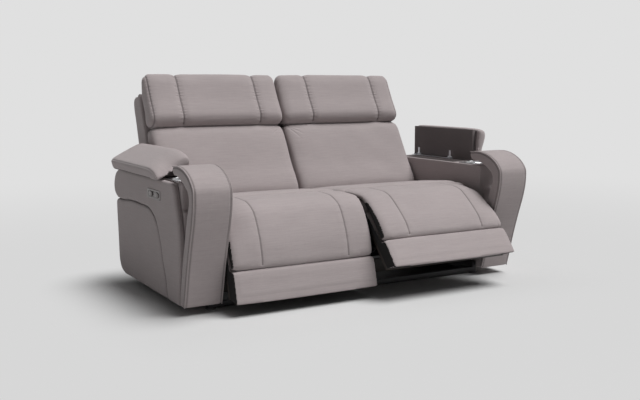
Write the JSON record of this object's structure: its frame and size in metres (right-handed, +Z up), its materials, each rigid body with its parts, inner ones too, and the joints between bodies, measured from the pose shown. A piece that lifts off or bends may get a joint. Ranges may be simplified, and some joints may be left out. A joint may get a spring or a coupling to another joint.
{
  "type": "reclining sofa",
  "caption": "Upholstered reclining sofa with swing-out footrests, reclining backs, tilting headrests and a lidded console with a cup holder in each arm.",
  "frame": {"origin": "on the floor at the middle of the underside of the centre foot, midway between the front and rear rails of the base", "axes": "+X along the width towards the right arm seen from the front, +Y from front to rear, +Z up; the sofa faces -Y"},
  "size_m": [1.9499, 1.2841, 1.0221],
  "materials": {
    "upholstery": "woven, matt, light warm grey",
    "lining": "woven, matt, dark grey brown",
    "timber": "plywood, stained dark brown",
    "black_steel": "black, satin",
    "zinc": "zinc plated",
    "polished": "polished",
    "plastic": "black, fine grain"
  },
  "bodies": {
    "body": {"base_frame": "black_steel", "foot_front_left": "plastic", "foot_front_right": "plastic", "foot_rear_left": "plastic", "foot_rear_right": "plastic", "foot_centre": "plastic", "seat_frame_left": "timber", "seat_cushion_left": "upholstery", "footrest_motor_left": "plastic", "arm_box_left": "upholstery", "arm_side_band_left": "upholstery", "arm_side_panel_left": "upholstery", "arm_scroll_left": "upholstery", "cup_holder_left": "polished", "lid_hinge_strip_left": "zinc", "switch_plate_left": "polished", "seat_frame_right": "timber", "seat_cushion_right": "upholstery", "footrest_motor_right": "plastic", "arm_box_right": "upholstery", "arm_side_band_right": "upholstery", "arm_side_panel_right": "upholstery", "arm_scroll_right": "upholstery", "cup_holder_right": "polished", "lid_hinge_strip_right": "zinc", "switch_plate_right": "polished"},
    "footrest_left": {"footrest_board_left": "timber", "footrest_pad_left": "upholstery"},
    "drive_left": {"drive_tube_left": "black_steel"},
    "links_left": {"footrest_link_inner_left": "zinc", "footrest_link_outer_left": "zinc"},
    "slide_left": {"slide_block_left": "plastic"},
    "back_left": {"back_frame_left": "timber", "back_cushion_left": "upholstery", "back_shell_left": "upholstery"},
    "headrest_left": {"headrest_frame_left": "timber", "headrest_pad_left": "upholstery"},
    "lid_left": {"lid_board_left": "lining", "lid_pad_left": "upholstery", "lid_leaf_front_left": "zinc", "lid_leaf_rear_left": "zinc"},
    "open_button_left": {"open_button_left": "plastic"},
    "close_button_left": {"close_button_left": "plastic"},
    "footrest_right": {"footrest_board_right": "timber", "footrest_pad_right": "upholstery"},
    "drive_right": {"drive_tube_right": "black_steel"},
    "links_right": {"footrest_link_inner_right": "zinc", "footrest_link_outer_right": "zinc"},
    "slide_right": {"slide_block_right": "plastic"},
    "back_right": {"back_frame_right": "timber", "back_cushion_right": "upholstery", "back_shell_right": "upholstery"},
    "headrest_right": {"headrest_frame_right": "timber", "headrest_pad_right": "upholstery"},
    "lid_right": {"lid_board_right": "lining", "lid_pad_right": "upholstery", "lid_leaf_front_right": "zinc", "lid_leaf_rear_right": "zinc"},
    "open_button_right": {"open_button_right": "plastic"},
    "close_button_right": {"close_button_right": "plastic"}
  },
  "joints": [
    {"name": "footrest_hinge_left", "type": "hinge", "parent": "body", "child": "footrest_left", "pos_m": [-0.3585, -0.322, 0.395], "axis": [-1, 0, 0], "range_deg": [0, 80]},
    {"name": "drive_turn_left", "type": "hinge", "parent": "body", "child": "drive_left", "pos_m": [-0.3585, -0.132, 0.285], "axis": [-1, 0, 0], "range_deg": [0, 80]},
    {"name": "link_pivot_left", "type": "hinge", "parent": "drive_left", "child": "links_left", "pos_m": [-0.3585, -0.14958, 0.10145], "axis": [-1, 0, 0], "range_deg": [-80, 0]},
    {"name": "motor_slide_left", "type": "slide", "parent": "body", "child": "slide_left", "axis": [0, -1, 0], "range_m": [0, 0.12857]},
    {"name": "recline_left", "type": "hinge", "parent": "body", "child": "back_left", "pos_m": [-0.374, 0.336, 0.33], "axis": [-1, 0, 0], "range_deg": [0, 20]},
    {"name": "headrest_tilt_left", "type": "hinge", "parent": "back_left", "child": "headrest_left", "pos_m": [-0.374, 0.41004, 0.77815], "axis": [1, 0, 0], "range_deg": [0, 30]},
    {"name": "lid_hinge_left", "type": "hinge", "parent": "body", "child": "lid_left", "pos_m": [-0.908, 0.163, 0.566], "axis": [0, -1, 0], "range_deg": [0, 90]},
    {"name": "open_press_left", "type": "slide", "parent": "body", "child": "open_button_left", "axis": [1, 0, 0], "range_m": [0, 0.0016], "stiffness_N_per_m": 400},
    {"name": "close_press_left", "type": "slide", "parent": "body", "child": "close_button_left", "axis": [1, 0, 0], "range_m": [0, 0.0016], "stiffness_N_per_m": 400},
    {"name": "footrest_hinge_right", "type": "hinge", "parent": "body", "child": "footrest_right", "pos_m": [0.3585, -0.322, 0.395], "axis": [-1, 0, 0], "range_deg": [-24, 56]},
    {"name": "drive_turn_right", "type": "hinge", "parent": "body", "child": "drive_right", "pos_m": [0.3585, -0.132, 0.285], "axis": [-1, 0, 0], "range_deg": [-24, 56]},
    {"name": "link_pivot_right", "type": "hinge", "parent": "drive_right", "child": "links_right", "pos_m": [0.3585, -0.22272, 0.12447], "axis": [-1, 0, 0], "range_deg": [-56, 24]},
    {"name": "motor_slide_right", "type": "slide", "parent": "body", "child": "slide_right", "axis": [0, -1, 0], "range_m": [-0.03858, 0.09]},
    {"name": "recline_right", "type": "hinge", "parent": "body", "child": "back_right", "pos_m": [0.374, 0.336, 0.33], "axis": [-1, 0, 0], "range_deg": [0, 20]},
    {"name": "headrest_tilt_right", "type": "hinge", "parent": "back_right", "child": "headrest_right", "pos_m": [0.374, 0.41004, 0.77815], "axis": [1, 0, 0], "range_deg": [0, 30]},
    {"name": "lid_hinge_right", "type": "hinge", "parent": "body", "child": "lid_right", "pos_m": [0.908, 0.163, 0.566], "axis": [0, 1, 0], "range_deg": [-90, 0]},
    {"name": "open_press_right", "type": "slide", "parent": "body", "child": "open_button_right", "axis": [-1, 0, 0], "range_m": [0, 0.0016], "stiffness_N_per_m": 400},
    {"name": "close_press_right", "type": "slide", "parent": "body", "child": "close_button_right", "axis": [-1, 0, 0], "range_m": [0, 0.0016], "stiffness_N_per_m": 400}
  ],
  "couplings": [
    {"joint": "drive_turn_left", "follows": "footrest_hinge_left", "ratio": 1},
    {"joint": "link_pivot_left", "follows": "footrest_hinge_left", "ratio": -1},
    {"joint": "motor_slide_left", "follows": "footrest_hinge_left", "m_per_rad": 0.092073},
    {"joint": "drive_turn_right", "follows": "footrest_hinge_right", "ratio": 1},
    {"joint": "link_pivot_right", "follows": "footrest_hinge_right", "ratio": -1},
    {"joint": "motor_slide_right", "follows": "footrest_hinge_right", "m_per_rad": 0.092073}
  ]
}
